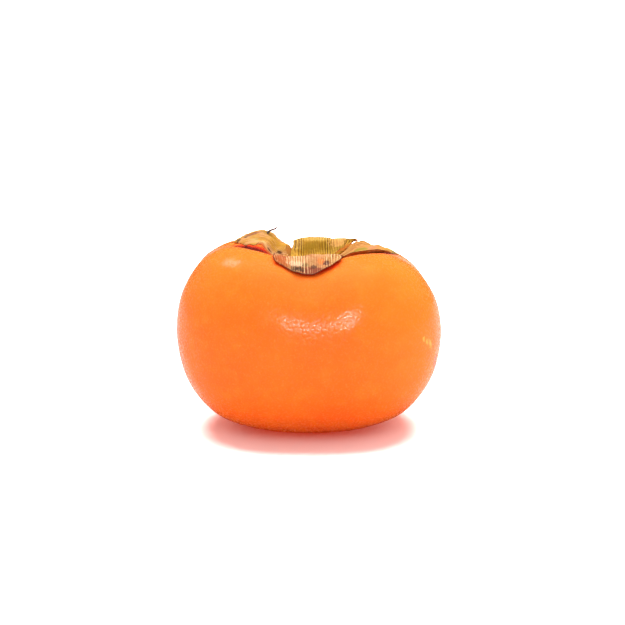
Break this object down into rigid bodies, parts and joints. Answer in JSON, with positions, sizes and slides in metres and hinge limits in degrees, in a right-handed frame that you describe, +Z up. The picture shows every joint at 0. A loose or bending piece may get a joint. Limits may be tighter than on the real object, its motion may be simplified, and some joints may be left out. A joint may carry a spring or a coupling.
{
  "type": "persimmon",
  "caption": "Squat orange persimmon with soft corners and its dried, curled calyx and cut stalk, standing on the low pads round its blossom end.",
  "frame": {"origin": "on the resting surface, at the middle of the bounding box's base, under the blossom end", "axes": "+Z up along the stalk, -Y towards the front lobe of the calyx, +X towards the right lobe"},
  "size_m": [0.0765, 0.0759, 0.0564],
  "materials": {
    "skin": "smooth waxy fruit skin with a fine speckle, orange, yellower at the shoulders and redder below",
    "calyx_leaf": "dry papery sepal, ochre and tan with green patches, fine ribs and brown torn edges",
    "calyx_wood": "matt woody centre of the calyx, brown, with fine cracks",
    "stalk": "matt dry bark with a paler cut end",
    "dried_style": "matt, shrivelled, nearly black"
  },
  "bodies": {
    "root": {"fruit": "skin", "calyx_disc": "calyx_wood", "calyx_lobe_front": "calyx_leaf", "calyx_lobe_right": "calyx_leaf", "calyx_lobe_back": "calyx_leaf", "calyx_lobe_left": "calyx_leaf", "stem_stub": "stalk", "style_remnant": "dried_style"}
  },
  "joints": []
}
